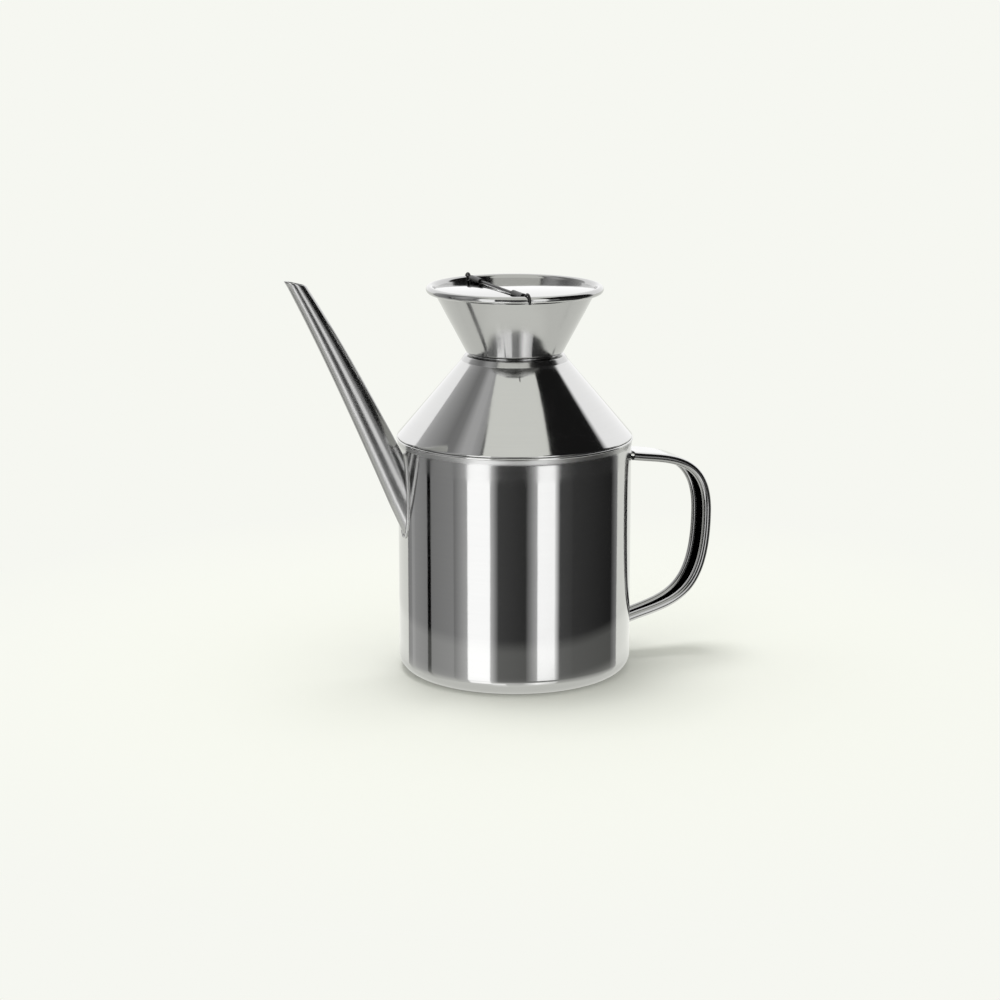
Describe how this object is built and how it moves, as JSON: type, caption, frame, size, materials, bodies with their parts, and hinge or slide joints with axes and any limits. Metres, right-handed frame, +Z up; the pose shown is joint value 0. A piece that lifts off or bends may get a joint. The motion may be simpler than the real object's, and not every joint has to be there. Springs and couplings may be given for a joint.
{
  "type": "stainless steel oil can",
  "caption": "Round steel oil can with a cone shoulder, funnel mouth with a half-opening hinged lid, long tapered pouring spout and strap handle.",
  "frame": {"origin": "centre of the round base, on the surface that the can stands on", "axes": "+Z up along the body's axis, +X toward the handle, -X toward the spout, +Y along the lid's hinge"},
  "size_m": [0.2016, 0.1066, 0.1818],
  "materials": {
    "polished_steel": "mirror polished",
    "drawn_steel": "polished, with faint drawing marks",
    "steel_wire": "dark drawn wire",
    "weld_steel": "brushed weld bead"
  },
  "bodies": {
    "can": {"body_cup": "polished_steel", "shoulder_cone": "polished_steel", "funnel": "polished_steel", "lid_fixed": "polished_steel", "hinge_wire": "steel_wire", "spout_tube": "drawn_steel", "spout_weld": "weld_steel", "handle_strap": "drawn_steel", "handle_weld_upper": "weld_steel", "handle_weld_lower": "weld_steel"},
    "flap": {"lid_flap": "polished_steel"}
  },
  "joints": [
    {"name": "lid_hinge", "type": "hinge", "parent": "can", "child": "flap", "pos_m": [-0.0085, 0, 0.1743], "axis": [0, -1, 0], "range_deg": [0, 175]}
  ]
}
